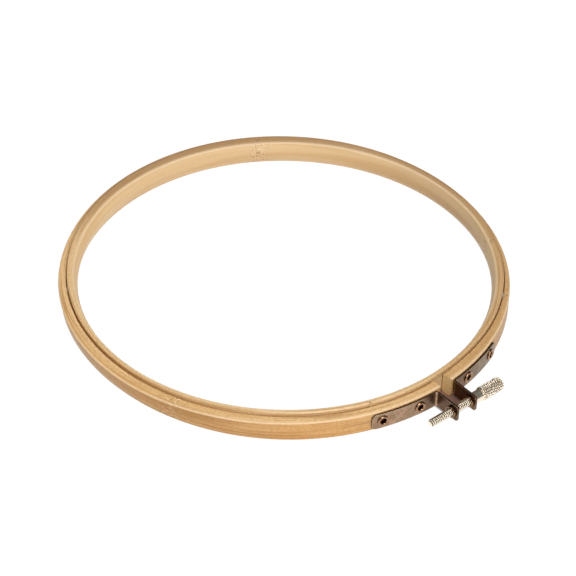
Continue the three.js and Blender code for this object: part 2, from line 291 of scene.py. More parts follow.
# %% Bamboo
def bamboo(name, tones, skin, knuckles, seed, grime, face_grain, top):
    """The material of one ring.

    tones: light, middle, dark and skin. skin: the radii where the smooth outer skin starts and
    is full. knuckles: the direction and the half length of each. grime: how dark the joint is
    painted, grime together with painted shade of the crevice.
    face_grain: how much of the grain the free face shows. top: the ring's height.
    """
    material, maker, shader = surface(name)
    place = maker.here(ring_centre)
    x, y, z = maker.split(place)
    radius = (x * x + y * y).math("SQRT")

    def towards(way_x, way_y):
        """How far a point lies from the middle of the hoop in this direction."""
        return x * way_x + y * way_y

    def cloud(size, detail=2.0):
        return maker.noise(Vector=place, W=seed, Scale=1 / size, Detail=detail)

    knuckle = 0.0
    for angle, half_length in knuckles:
        a = math.radians(angle)
        sideways = towards(math.cos(a), math.sin(a)).math("ABSOLUTE")
        on_this_side = towards(math.sin(a), -math.cos(a)) > 0
        ragged = cloud(4 * MM) * (4 * MM)
        near = 1 - (sideways + ragged).step(0.2 * half_length, half_length)
        knuckle = near * on_this_side + knuckle

    wander = (cloud(2.6 * MM, 3.0) - 0.5) * knuckle * (2.2 * MM)
    height = z + wander
    depth = radius + wander

    def streaks(length, width, detail=3.0):
        """Streaks round the ring, of about this length and width."""
        vector = maker.combine(x / length, y / length, height / width + seed)
        return maker.noise(Vector=vector, W=depth / width, Scale=1.0, Detail=detail)

    fine = streaks(24 * MM, 0.28 * MM)
    coarse = streaks(60 * MM, 1.1 * MM, 2.0)
    broad = streaks(90 * MM, 4.5 * MM, 1.0)
    patchy = cloud(22 * MM)
    flecks = cloud(0.9 * MM, 2.0)
    joint = maker.attribute("joint")
    free_face = (1 - joint).step(0.7, 0.95)
    top_face = z.step(top - 0.6 * MM, top - 0.1 * MM)
    grain = 1 - free_face * (1 - top_face) * (1 - face_grain)

    light, middle, dark, skin_tone = tones
    outer_skin = radius.step(*skin)
    specks = cloud(0.6 * MM, 1.0)
    colour = maker.paint(
        middle,
        (broad.step(0.36, 0.64), light),
        (outer_skin * (0.45 + patchy.step(0.2, 0.75) * 0.45), skin_tone),
        (coarse.step(0.52, 0.7) * grain * 0.65, dark),
        (fine.step(0.52, 0.68) * grain * 0.7, dark),
        ((1 - fine.step(0.28, 0.46)) * grain * 0.4, light),
        (specks.step(0.48, 0.64) * grain * 0.34, dark),
        (knuckle * flecks.step(0.58, 0.66) * 0.8, light_fleck),
        (knuckle * (1 - flecks.step(0.36, 0.45)) * 0.75, dark_fleck),
    )

    # Painted shade by side of the hoop: the far side, its tops most, and the right side are painted
    # duller, and the outer face on the left a deeper gold.
    rightwards = towards(right_of_camera.x, right_of_camera.y)
    far_side = towards(back_from_camera.x, back_from_camera.y).step(0.0, 0.08)
    right_side = rightwards.step(0.02, 0.11)
    left_side = (0.0 - rightwards).step(0.01, 0.08)
    # Darker where the rings meet, most near the top: grime together with painted shade of the crevice.
    crevice = joint.step(0.93, 0.995) * (0.15 + z.step(top - 4 * MM, top - 2 * MM) * 0.85)
    # A painted highlight along the upper edge of the free face.
    edge_highlight_band = free_face * z.step(top - 0.8 * MM, top - 0.35 * MM)
    colour = maker.paint(
        colour,
        (far_side * (0.22 + top_face * 0.38), far_side_shade),
        (right_side * 0.35, right_side_shade),
        (left_side * outer_skin * (1 - top_face) * 0.5, left_side_shade),
        # The cut ends are painted pale: pale end grain together with painted light.
        (maker.attribute("end") * 0.75, end_grain_and_light),
        (crevice * grime, joint_grime_and_shade),
        (edge_highlight_band * 0.5, painted_edge_highlight),
    )

    relief = fine * 0.5 + coarse * 0.4 + flecks * knuckle * 0.8
    bump = maker.bump(0.35, 0.12 * MM, relief)
    rough = 0.42 + fine * 0.16 - outer_skin * 0.06
    feed(maker, shader, base_color=colour, roughness=rough, normal=bump)
    feed(maker, shader, coat_weight=0.06, coat_roughness=0.3)
    shader.inputs["Specular IOR Level"].default_value = 0.3
    return material


outer_bamboo = bamboo(
    "outer bamboo",
    (tone(236, 198, 144), tone(225, 183, 124), tone(168, 116, 60), tone(214, 158, 90)),
    (outer_outside - 1.2 * MM, outer_outside - 0.1 * MM),
    [(-70.5, 0.011), (38.0, 0.007), (171.0, 0.008)],
    seed=3.7, grime=0.6, face_grain=1.0, top=outer_height,
)
inner_bamboo = bamboo(
    "inner bamboo",
    (tone(238, 206, 158), tone(226, 187, 134), tone(184, 137, 84), tone(226, 180, 126)),
    (inner_outside - 1.3 * MM, inner_outside - 0.1 * MM),
    [(145.5, 0.009), (-20.0, 0.007), (61.0, 0.007)],
    seed=9.2, grime=0.12, face_grain=0.2, top=inner_height,
)
print("bamboo for the outer and the inner ring")

# %% [markdown]
# The clamp's sheet metal is steel with a brown antique plating. It is darker in the pits. It is
# brighter along the rims, where hands and the tumbling drum have worn it, and a painted highlight
# adds to that. The very corner of the rim, the sheet's cut edge, is painted dark, a painted shadow
# line. Beside the bend and on the ear the plating is painted darker, painted shade in the corner
# between strip and ear, and the bend itself is left out of it, so it keeps the plain plating. Each
# vertex of a bracket holds its distance from the rim, as rim, and its distance along the strip from
# the bend, counted in bend sizes, as ear. The right bracket is painted in darker browns than the
# left, painted shade on the same plating.


# %% Antique steel
def antique_steel(name, plating, worn, pits, dark):
    """plating and worn mix in blotches, pits lie in the grit, and dark is painted shade beside the
    bend and on the ear.
    """
    material, maker, shader = surface(name)
    here = maker.here()

    def cloud(size, detail=3.0):
        return maker.noise(Vector=here, Scale=1 / size, Detail=detail, Roughness=0.6)

    blotches = cloud(3.2 * MM)
    grit = cloud(0.35 * MM, 2.0)
    rim, ear = maker.attribute("rim"), maker.attribute("ear")
    # Bright rims: wear, together with a painted highlight along the edges.
    rubbed_and_highlit_rim = 1 - (rim + (blotches - 0.5) * (0.5 * MM)).step(0.05 * MM, 0.4 * MM)
    # The sheet's cut edges are painted dark, a painted shadow line.
    edge_shadow_line = 1 - rim.step(0.0, 0.04 * MM)
    # Painted shade in the corner between strip and ear, stopping just short of the bend.
    corner_shade = ear.step(-9.5, -3.5) * (1 - ear.step(-1.8, -0.9)) * 0.65
    colour = maker.paint(
        plating,
        (blotches.step(0.35, 0.68), worn),
        ((1 - grit.step(0.32, 0.45)) * 0.6, pits),
        # Painted shade beside the bend and on the ear.
        (corner_shade + ear.step(0.0, 0.7) * 0.85, dark),
        (rubbed_and_highlit_rim * 0.6, tone(222, 196, 168)),
        (edge_shadow_line * 0.85, tone(56, 36, 24)),
    )
    bump = maker.bump(0.3, 0.06 * MM, grit + blotches)
    rough = 0.2 + grit * 0.1 + blotches * 0.06
    feed(maker, shader, base_color=colour, metallic=0.92, roughness=rough, normal=bump)
    return material


# The right bracket's tones are darker than the left's: the same plating with painted shade.
bracket_tones_lit_and_shaded = {
    "left": (tone(154, 126, 98), tone(184, 149, 122), tone(92, 64, 44), tone(78, 52, 35)),
    "right": (tone(114, 90, 64), tone(142, 115, 86), tone(84, 58, 40), tone(108, 74, 50)),
}
steel = {side: antique_steel(side + " antique steel", *tones) for side, tones in bracket_tones_lit_and_shaded.items()}
print("antique steel")

# %% [markdown]
# The rivets are copper plated and dull, the bush and the collar are a dark bronze, and the screw
# is nickel with a warm cast. Grime lies in the grooves of its thread and knurl, so the tree that
# cuts those grooves also leaves their depth behind, as the attribute groove.


# %% Copper, bronze and nickel
def plated(name, crest, hollow, roughness):
    """Plating in the crest's tone that turns to the hollow's tone as a groove gets deeper."""
    material, maker, shader = surface(name)
    stain = maker.noise(Vector=maker.here(), Scale=1 / (0.8 * MM), Detail=3.0)
    grime = (maker.attribute("groove") + (stain - 0.5) * 0.35).step(0.25, 0.95)
    colour = maker.paint(crest, (grime, hollow))
    rough = roughness + stain * 0.12 + grime * 0.25
    bump = maker.bump(0.15, 0.05 * MM, stain)
    feed(maker, shader, base_color=colour, metallic=1.0, roughness=rough, normal=bump)
    return material


copper = plated("dark copper", tone(166, 128, 97), tone(70, 42, 26), 0.2)
bronze = plated("dark bronze", tone(138, 108, 80), tone(60, 42, 28), 0.16)
nickel = plated("warm nickel", tone(250, 237, 215), tone(86, 66, 46), 0.24)
print("copper, bronze and nickel")

# %% [markdown]
# Both rings are one idea, a flat strip with eased edges swept round a circle, so one Geometry
# Nodes tree makes both. The profile is a rectangle whose corners are filleted, the upper outer
# one by its own lead-in radius, because the inner ring is rounded there to let the cloth slide
# over it. The path is a whole circle or, for the split ring, an arc.

# %% Opening, closing and running a tree
FLOAT, WHOLE, FLAG = "NodeSocketFloat", "NodeSocketInt", "NodeSocketBool"
VECTOR, MATERIAL = "NodeSocketVector", "NodeSocketMaterial"


def geometry_tree(name, sizes):
    """A Geometry Nodes tree with a named input for each size, its maker and its inputs."""
    tree = bpy.data.node_groups.new(name, "GeometryNodeTree")
    shape = {"Geometry": "NodeSocketGeometry"}
    for in_out, sockets in (("INPUT", {**shape, **sizes}), ("OUTPUT", shape)):
        for key, kind in sockets.items():
            tree.interface.new_socket(key, in_out=in_out, socket_type=kind)
    maker = Maker(tree)
    entry = tree.nodes.new("NodeGroupInput")
    return tree, maker, {s.name: Value(maker, s) for s in entry.outputs if s.name}


def end_tree(maker, shape, material):
    """Close a tree: real meshes instead of instances, and the material."""
    real = maker.node("GeometryNodeRealizeInstances", {}, [shape])
    dressed = maker.node("GeometryNodeSetMaterial", {}, {"Geometry": real, "Material": material})
    maker.node("NodeGroupOutput", {}, [dressed])


def grow(name, tree, values, blank=None):
    """Run a tree, on a blank mesh if it needs one, and keep what it makes as a plain mesh."""
    carrier = added(name, blank or bpy.data.meshes.new(name))
    modifier = carrier.modifiers.new("nodes", "NODES")
    modifier.node_group = tree
    sockets = {s.name: s.identifier for s in tree.interface.items_tree if s.in_out == "INPUT"}
    for key, value in values.items():
        modifier[sockets[key]] = value
    evaluated = carrier.evaluated_get(bpy.context.evaluated_depsgraph_get())
    mesh = bpy.data.meshes.new_from_object(evaluated)
    bpy.data.objects.remove(carrier)
    return mesh


print("trees can be made and run")

# %% A strip's path and section
strip_tree, maker, size = geometry_tree("bent strip", {
    "Inside": FLOAT, "Outside": FLOAT, "Height": FLOAT, "Eased Edge": FLOAT, "Lead In": FLOAT,
    "Closed": FLAG, "Start": FLOAT, "Sweep": FLOAT, "Facets": WHOLE, "Round": WHOLE,
    "Unevenness": FLOAT, "Seed": FLOAT, "Meet Growth": FLOAT, "Meet Shift": VECTOR,
    "Bulge": FLOAT, "Gap": FLOAT, "Centre": VECTOR, "Material": MATERIAL,
})
wall = size["Outside"] - size["Inside"]
middle_radius = (size["Outside"] + size["Inside"]) / 2
circle = maker.node(
    "GeometryNodeCurvePrimitiveCircle", {}, {"Resolution": size["Facets"], "Radius": middle_radius}
)
arc = maker.node("GeometryNodeCurveArc", {}, {
    "Resolution": size["Facets"], "Radius": middle_radius,
    "Start Angle": size["Start"], "Sweep Angle": size["Sweep"],
})
path = maker.node("GeometryNodeSwitch", {"input_type": "GEOMETRY"}, [size["Closed"], arc, circle])
section = maker.node("GeometryNodeCurvePrimitiveQuadrilateral", {}, {
    "Width": wall, "Height": size["Height"],
})
corner_x, corner_y, _ = maker.split(maker.node("GeometryNodeInputPosition"))
outer_top = (corner_x > 0) * (corner_y > 0)
rounding = size["Eased Edge"] + outer_top * (size["Lead In"] - size["Eased Edge"])
section = maker.node("GeometryNodeFilletCurve", {"mode": "POLY"}, {
    "Curve": section, "Count": size["Round"], "Radius": rounding, "Limit Radius": True,
})
inner_face_cuts = 7.0
on_inner_face = (0.0 - wall / 2 - corner_x).math("ABSOLUTE").math("LESS_THAN", 0.001 * MM)
section = maker.node("GeometryNodeSubdivideCurve", {}, {
    "Curve": section, "Cuts": on_inner_face * inner_face_cuts,
})
ring = maker.node("GeometryNodeCurveToMesh", {}, {
    "Curve": path, "Profile Curve": section, "Fill Caps": True,
})
print("path and section:", len(strip_tree.nodes), "nodes")

# %% [markdown]
# Bent bamboo is never quite true. A slow noise moves the strip in and out by a tenth of a
# millimetre. The circle where the rings meet lies a little off centre, so that each wall is
# thicker on one side of the hoop. In a few places a strip has warped: its free face stands out or
# in, or leans, because the strip twisted as it was bent. Where thin ends press on each other the
# circle where the rings meet gives way too, and in one place it leaves a crevice. The inner
# ring's inner face is crowned, as the round of the cane left it. All of it is one drift along the
# radius.

# %% How the strips have warped
# Each warp: direction from the clamp, sharpness, how far the outer ring's outer face stands out
# and how far it leans, and how far the inner face and the circle where the rings meet move out.
warps = [
    (-91, 6, 0.0, 1.45 * MM, 0.6 * MM, 0.0),
    (80, 5, -1.8 * MM, 0.0, 0.5 * MM, 0.0),
    (-155, 8, -1.0 * MM, 0.0, 0.0, 0.0),
    (157, 3, 0.0, 0.0, -0.75 * MM, 0.0),
    (8, 30, 0.0, 0.0, 0.0, -1.1 * MM),
    (52, 25, 0.0, 0.0, 0.0, 0.6 * MM),
]
crevice_direction, crevice_sharpness = 46, 25
slow_noise_scale = 2.6

px, py, pz = maker.split(maker.node("GeometryNodeInputPosition"))
from_axis = (px * px + py * py).math("SQRT")
way_x, way_y = px / from_axis, py / from_axis
way = maker.combine(way_x, way_y, 0.0)
slow = maker.noise(Vector=way, W=size["Seed"], Scale=slow_noise_scale, Detail=1.0)
drift = (slow - 0.5) * size["Unevenness"] * 2.0


def peak(direction, sharpness):
    """1 in this direction from the middle, and less to both sides, the quicker the sharper."""
    a = math.radians(direction)
    return (way_x * math.sin(a) - way_y * math.cos(a)).math("MAXIMUM", 0.0).math("POWER", sharpness)


closed = size["Closed"]
from_inside = (from_axis - size["Inside"]) / wall
from_free_face = from_inside * closed + (1 - from_inside) * (1 - closed)
shift_x, shift_y, _ = maker.split(size["Meet Shift"])
drift = drift + from_free_face * (size["Meet Growth"] + way_x * shift_x + way_y * shift_y)
for direction, sharpness, outer_face, outer_lean, inner_face, meeting in warps:
    stands_out = pz / size["Height"] * (2 * outer_lean) + outer_face
    amount = (1 - closed) * stands_out + closed * inner_face
    amount = (1 - from_free_face) * amount + from_free_face * meeting
    drift = drift + peak(direction, sharpness) * amount
off_middle = pz / (size["Height"] / 2)
drift = drift - (1 - from_inside) * size["Bulge"] * (1 - off_middle * off_middle)
crevice = peak(crevice_direction, crevice_sharpness) * size["Gap"]
drift = drift + (1 - closed) * (1 - from_inside) * crevice
print("drift:", len(warps), "warps")

# %% The strip moved by its drift
ring = maker.store(ring, "joint", from_free_face)
normal_x, normal_y, _ = maker.split(maker.node("GeometryNodeInputNormal"))
looks_along_ring = (normal_y * way_x - normal_x * way_y).math("ABSOLUTE") > 0.8
ring = maker.store(ring, "end", looks_along_ring, "FACE")
moved = maker.combine(way_x * drift, way_y * drift, size["Height"] / 2)
ring = maker.node("GeometryNodeSetPosition", {}, {"Geometry": ring, "Offset": moved})
ring = maker.node("GeometryNodeSetPosition", {}, {"Geometry": ring, "Offset": size["Centre"]})
end_tree(maker, ring, size["Material"])
print("strip tree:", len(strip_tree.nodes), "nodes")

# %% [markdown]
# The outer ring stops short of the middle of the clamp on both sides, so that the screw can pull
# its ends together. The circle where the rings meet is a little larger than in the frame and lies
# towards the far side.

# %% Both rings
ring_facets = 420
edge_facets = 5
inner_wall = 3.2 * MM
outer_wall = 3.8 * MM
left_end = math.atan2(2.9 * MM, outer_outside)
right_end = math.atan2(4.0 * MM, outer_outside)
shared = {
    "Facets": ring_facets, "Round": edge_facets, "Centre": ring_centre, "Unevenness": 0.1 * MM,
    "Meet Growth": 0.25 * MM, "Meet Shift": 0.9 * MM * back_from_camera,
}

inner_mesh = grow("inner ring", strip_tree, {
    **shared, "Inside": inner_outside - inner_wall, "Outside": inner_outside,
    "Height": inner_height, "Eased Edge": 0.55 * MM, "Lead In": 1.4 * MM, "Closed": True,
    "Bulge": 1.7 * MM, "Seed": 1.0, "Material": inner_bamboo,
})
outer_mesh = grow("outer ring", strip_tree, {
    **shared, "Inside": outer_outside - outer_wall, "Outside": outer_outside,
    "Height": outer_height, "Eased Edge": 0.5 * MM, "Lead In": 0.55 * MM, "Closed": False,
    "Start": right_end - math.pi / 2, "Sweep": 2 * math.pi - left_end - right_end,
    "Gap": 0.05 * MM, "Seed": 2.0, "Material": outer_bamboo,
})
print("rings:", len(inner_mesh.polygons), "and", len(outer_mesh.polygons), "faces")

# %% [markdown]
# Round pieces and cutters are turned: a list of points, each a distance along an axis and a
# radius, is carried round it. The ends close where the radius is zero, or the list closes on
# itself when the piece is a tube.


# %% Turning a profile
def mesh_of(name, bm):
    mesh = bpy.data.meshes.new(name)
    bm.to_mesh(mesh)
    bm.free()
    return mesh


def turned(name, profile, facets, tube=False):
    """A profile of (distance, radius) points turned about X."""
    bm = bmesh.new()
    rows = []
    for distance, radius in profile:
        angles = [2 * math.pi * i / facets for i in range(facets)]
        places = [(distance, radius * math.cos(a), radius * math.sin(a)) for a in angles]
        rows.append([bm.verts.new(place) for place in places])
    pairs = list(zip(rows, rows[1:]))
    if tube:
        pairs.append((rows[-1], rows[0]))
    for low, high in pairs:
        for i in range(facets):
            j = (i + 1) % facets
            bm.faces.new((low[i], low[j], high[j], high[i]))
    bmesh.ops.remove_doubles(bm, verts=bm.verts, dist=0.001 * MM)
    bmesh.ops.recalc_face_normals(bm, faces=bm.faces)
    return mesh_of(name, bm)


def rounded(points, reach, steps=3):
    """A profile with each of its corners cut back by reach and rounded off."""
    result = [points[0]]
    for before, corner, after in zip(points, points[1:], points[2:]):
        before, corner, after = Vector(before), Vector(corner), Vector(after)
        first = corner + (before - corner).normalized() * min(reach, (before - corner).length / 2)
        last = corner + (after - corner).normalized() * min(reach, (after - corner).length / 2)
        for i in range(steps + 1):
            t = i / steps
            result.append(tuple(first * (1 - t) ** 2 + corner * (2 * t * (1 - t)) + last * t**2))
    return [*result, points[-1]]


def piece_from(name, mesh, material, sharp=35):
    """An object at the origin with smooth faces and sharp edges where the surface turns quickly."""
    if not mesh.materials:
        mesh.materials.append(material)
    mesh.shade_smooth()
    mesh.set_sharp_from_angle(angle=math.radians(sharp))
    return added(name, mesh)


def cut(mesh, cutters):
    """The mesh with the cutters' space taken away."""
    body = added("body", mesh)
    made = [body]
    for cutter in cutters:
        tool = added("cutter", cutter)
        made.append(tool)
        modifier = body.modifiers.new("cut", "BOOLEAN")
        modifier.operation, modifier.solver, modifier.object = "DIFFERENCE", "EXACT", tool
    result = bpy.data.meshes.new_from_object(body.evaluated_get(bpy.context.evaluated_depsgraph_get()))
    for thing in made:
        bpy.data.objects.remove(thing)
    return result


print("turning and cutting ready")

# %% [markdown]
# Each bracket is one strip of sheet. It lies round the outside of the ring, then bends outwards
# into the ear that the screw goes through. It has large rounded corners at the far end and
# smaller ones on the ear. It is a grid whose rows shorten where the corners round off, and each
# row is carried to its place along the path of the bent strip.

# %% The strip's path
sheet = 0.9 * MM
seat_gap = 0.2 * MM
strip_width = 8.2 * MM
strip_length = 33.6 * MM
bend_size = 1.5 * MM
half_spacing = 5.4 * MM
ear_reach = 14.7 * MM
screw_reach = 11.2 * MM
strip_middle = outer_outside + seat_gap + sheet / 2
gap_point = clamp_middle - screw_reach * away


def on_ring(radius, angle):
    """A point at a radius, at an angle from the clamp's middle, positive towards the screw's head."""
    return ring_centre + radius * Vector((math.sin(angle), -math.cos(angle), 0))


def strip_angle(length, side):
    """The angle of a length along the strip, counted from its bend."""
    return side * (half_spacing + length) / strip_middle


def strip_path(side):
    """Points along the middle of the sheet from its far end on the ring to the tip of the ear."""
    start = gap_point + side * half_spacing * along - ring_centre
    start.z = 0
    reach = start.dot(away)
    hit = -reach + math.sqrt(reach**2 - start.length_squared + strip_middle**2)
    corner = start + hit * away
    corner_angle = math.atan2(corner.x, -corner.y)
    far_angle = strip_angle(strip_length, side)
    bend_angle = corner_angle + side * bend_size / strip_middle
    steps = 60
    points = []
    for i in range(steps + 1):
        points.append(on_ring(strip_middle, far_angle + (bend_angle - far_angle) * i / steps))
    first, corner = points[-1], corner + ring_centre
    last = corner + bend_size * away
    bend_steps = 12
    for i in range(1, bend_steps + 1):
        t = i / bend_steps
        points.append(first * (1 - t) ** 2 + corner * (2 * t * (1 - t)) + last * t**2)
    tip = gap_point + side * half_spacing * along + ear_reach * away
    tip.z = 0
    ear_steps = 16
    for i in range(1, ear_steps + 1):
        points.append(last.lerp(tip, i / ear_steps))
    return points


print("strip runs", round(sum((b - a).length for a, b in zip(strip_path(1), strip_path(1)[1:])), 4), "m")

# %% The brackets
strip_corner = 2.2 * MM
ear_corner = 1.3 * MM
rim_round = 0.16 * MM
columns = 12
corner_steps = 7
plain_rows = 90


def along_path(points, distance):
    """The point at a distance along the path and the sideways direction there."""
    for a, b in zip(points, points[1:]):
        length = (b - a).length
        if distance <= length or b is points[-1]:
            way = (b - a).normalized()
            return a + way * distance, Vector((-way.y, way.x, 0))
        distance -= length


def corner_rows(size):
    """How far the rows of a rounded corner lie from the end of the strip."""
    return [size * (1 - math.cos(math.pi / 2 * i / corner_steps)) for i in range(corner_steps + 1)]


def outline_of(rows):
    """The vertices round the outside of a grid, in order."""
    last_column = [row[-1] for row in reversed(rows[:-1])]
    return [*[row[0] for row in rows], *rows[-1][1:], *last_column, *reversed(rows[0][1:-1])]


def bracket(name, side):
    points = strip_path(side)
    total = sum((b - a).length for a, b in zip(points, points[1:]))
    far_rows = corner_rows(strip_corner)
    ear_rows = [total - row for row in corner_rows(ear_corner)]
    first, last = far_rows[-1], ear_rows[-1]
    between = [first + (last - first) * i / plain_rows for i in range(1, plain_rows)]
    bm = bmesh.new()
    rim = bm.verts.layers.float.new("rim")
    ear = bm.verts.layers.float.new("ear")
    layers = [[], []]
    for distance in [*far_rows, *between, *reversed(ear_rows)]:
        half = strip_width / 2
        if distance < strip_corner:
            half -= strip_corner - math.sqrt(strip_corner**2 - (strip_corner - distance) ** 2)
        if total - distance < ear_corner:
            left = ear_corner - total + distance
            half -= ear_corner - math.sqrt(max(ear_corner**2 - left**2, 0))
        centre, sideways = along_path(points, distance)
        for layer, offset in zip(layers, (sheet / 2, -sheet / 2)):
            row = []
            for i in range(columns + 1):
                z = half * (2 * i / columns - 1)
                vert = bm.verts.new(centre + sideways * offset + UP * (mid_height + z))
                vert[rim] = min(half - abs(z), distance, total - distance)
                vert[ear] = (distance - strip_length) / bend_size
                row.append(vert)
            layer.append(row)
    for sign, layer in zip((1, -1), layers):
        for low, high in zip(layer, layer[1:]):
            for i in range(columns):
                face = (low[i], high[i], high[i + 1], low[i + 1])
                bm.faces.new(face if sign > 0 else tuple(reversed(face)))
    edge_a, edge_b = outline_of(layers[0]), outline_of(layers[1])
    walls = []
    for i in range(len(edge_a)):
        j = (i + 1) % len(edge_a)
        walls.append(bm.faces.new((edge_a[i], edge_a[j], edge_b[j], edge_b[i])))
    bmesh.ops.recalc_face_normals(bm, faces=bm.faces)
    rims = {e for w in walls for e in w.edges if sum(f in walls for f in e.link_faces) == 1}
    bmesh.ops.bevel(bm, geom=list(rims), offset=rim_round, segments=3, profile=0.5, affect="EDGES")
    return mesh_of(name, bm)


bracket_meshes = {side: bracket("bracket", side) for side in (-1, 1)}
print("brackets:", [len(m.polygons) for m in bracket_meshes.values()], "faces")

# %% [markdown]
# The rivets go through the sheet and the wood, so both are drilled, and the wood is counterbored
# on its inner side for the clinched ends. The ears are drilled for the bush on the left and for
# the bare screw on the right.

# %% Drilling
first_rivet = 9.6 * MM
last_rivet_inset = 5.2 * MM
rivet_bore = 1.48 * MM
rivet_barrel = 1.65 * MM
rivet_fit = 0.25 * MM
clinch_radius = 2.1 * MM
clinch_height = 0.5 * MM
thread_radius = 1.85 * MM
running_fit = 0.2 * MM
bush_wall = 0.32 * MM
bush_barrel = thread_radius + running_fit + bush_wall
hole_facets = 40

rivet_angles = {
    side: [strip_angle(first_rivet, side), strip_angle(strip_length - last_rivet_inset, side)]
    for side in (-1, 1)
}


def outwards(angle):
    """A matrix whose X axis points out of the ring at an angle, at mid height."""
    matrix = Matrix.Rotation(angle - math.pi / 2, 4, "Z")
    matrix.translation = ring_centre + mid_height * UP
    return matrix


def drill(radius, start, end, matrix):
    mesh = turned("drill", [(start, 0), (start, radius), (end, radius), (end, 0)], hole_facets)
    mesh.transform(matrix)
    return mesh


outer_inside = outer_outside - outer_wall
overcut = 1.5 * MM
for side in (-1, 1):
    sheet_drills, wood_drills = [], []
    for angle in rivet_angles[side]:
        place = outwards(angle)
        hole = rivet_barrel + rivet_fit / 2
        sheet_drills.append(drill(hole, outer_outside - overcut, strip_middle + sheet + overcut, place))
        wood_drills.append(drill(hole, outer_inside - overcut, outer_outside + overcut, place))
        seat = clinch_radius + rivet_fit
        wood_drills.append(
            drill(seat, outer_inside - overcut, outer_inside + clinch_height + rivet_fit, place)
        )
    ear_hole = bush_barrel + running_fit / 2 if side < 0 else thread_radius + 2 * running_fit
    ear = side * half_spacing
    sheet_drills.append(drill(ear_hole, ear - sheet - overcut, ear + sheet + overcut, clamp_frame))
    bracket_meshes[side] = cut(bracket_meshes[side], sheet_drills)
    outer_mesh = cut(outer_mesh, wood_drills)
print("drilled:", len(outer_mesh.polygons), "faces on the outer ring")

# %% [markdown]
# A tubular rivet is turned once, about an axis that points out of the ring: a domed flange
# outside, an open barrel and a clinched end inside. A tree sets a copy at each place along the
# strip, turned to face outwards.

# %% The rivets
rivet_flange = 2.75 * MM
rivet_edge = 0.1 * MM
rivet_dome = 0.5 * MM
pressed_gap = 0.1 * MM
sleeve_facets = 48
dome_steps = 14
strip_outside = strip_middle + sheet / 2


def rivet_profile():
    """The closed outline of the rivet's wall, counted from the face of the sheet."""
    end = rivet_fit - outer_wall - seat_gap - sheet
    lip = clinch_height / 2
    points = [
        (end + lip, rivet_bore), (end, rivet_bore + lip), (end, clinch_radius - lip),
        (end + lip, clinch_radius), (end + clinch_height, rivet_barrel),
        (pressed_gap, rivet_barrel), (pressed_gap, rivet_flange - rivet_edge),
    ]
    middle = (rivet_bore + rivet_flange) / 2
    half = (rivet_flange - rivet_bore) / 2
    foot = pressed_gap + rivet_edge
    for i in range(dome_steps + 1):
        a = math.pi * i / dome_steps
        points.append((foot + rivet_dome * math.sin(a), middle + half * math.cos(a)))
    return points


rivet_blank = turned("rivet blank", rivet_profile(), sleeve_facets, tube=True)
rivet_tree, maker, size = geometry_tree("rivets along the strip", {
    "Centre": VECTOR, "Radius": FLOAT, "First": FLOAT, "Pitch": FLOAT, "Count": WHOLE,
    "Material": MATERIAL,
})
line = maker.node("GeometryNodeMeshLine", {"mode": "OFFSET"}, {"Count": size["Count"]})
angle = size["First"] + maker.node("GeometryNodeInputIndex") * size["Pitch"]
spot_x = angle.math("SINE") * size["Radius"]
spot_y = 0.0 - angle.math("COSINE") * size["Radius"]
spot = maker.combine(spot_x, spot_y, 0.0)
spots = maker.node("GeometryNodeSetPosition", {}, {"Geometry": line, "Position": spot})
facing = maker.combine(0.0, 0.0, angle - math.pi / 2)
copies = maker.node("GeometryNodeInstanceOnPoints", {}, {
    "Points": spots, "Instance": size["Geometry"], "Rotation": facing,
})
placed = maker.node("GeometryNodeTransform", {}, {"Geometry": copies, "Translation": size["Centre"]})
end_tree(maker, placed, size["Material"])

for side, name in ((-1, "left"), (1, "right")):
    first, last = rivet_angles[side]
    mesh = grow("rivets", rivet_tree, {
        "Centre": ring_centre + mid_height * UP, "Radius": strip_outside, "First": first,
        "Pitch": last - first, "Count": 2, "Material": copper,
    }, rivet_blank.copy())
    piece = piece_from(name + "_rivets", mesh, copper)
    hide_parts(name + "_rivet_near", name + "_rivet_far")
    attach(piece, "left_clamp" if side < 0 else "hoop")
    print(piece.name, [round(v, 4) for v in piece.dimensions])

# %% [markdown]
# The thumb screw starts as smooth turned blanks, fine enough to take a pattern. Its thread and
# its knurl are both grooves that wind round an axis, so one tree cuts both. A thread groove lies
# where the distance along the axis, counted in pitches, and the turn round it differ by a whole
# number. The knurl is two sets of steep grooves, one left-handed and one right-handed, with
# diamonds between them. A crest above 1 cuts the ridges off flat.

# %% The screw's blanks
tip_length = 13.6 * MM
tip_chamfer = 0.7 * MM
shoulder_radius = 2.7 * MM
shoulder_length = 5.2 * MM
head_radius = 3.25 * MM
head_length = 11.9 * MM
head_round = 1.0 * MM
head_foot = 0.5 * MM
tip_flat, tip_round = 0.2 * MM, 0.15 * MM
shoulder_bevel = 0.35 * MM
head_flat = 0.5 * MM
shank_step, shank_facets = 0.085 * MM, 56
head_step, head_facets = 0.1 * MM, 192
tip = -half_spacing - tip_length
shoulder = half_spacing + sheet / 2 + running_fit
head_start = shoulder + shoulder_length
head_end = head_start + head_length
shoulder_end = head_start + head_foot


def fine_rows(profile, step):
    """The same profile with points no further apart than step."""
    result = [profile[0]]
    for (xa, ra), (xb, rb) in zip(profile, profile[1:]):
        count = max(1, math.ceil(math.hypot(xb - xa, rb - ra) / step))
        for i in range(1, count + 1):
            result.append((xa + (xb - xa) * i / count, ra + (rb - ra) * i / count))
    return result


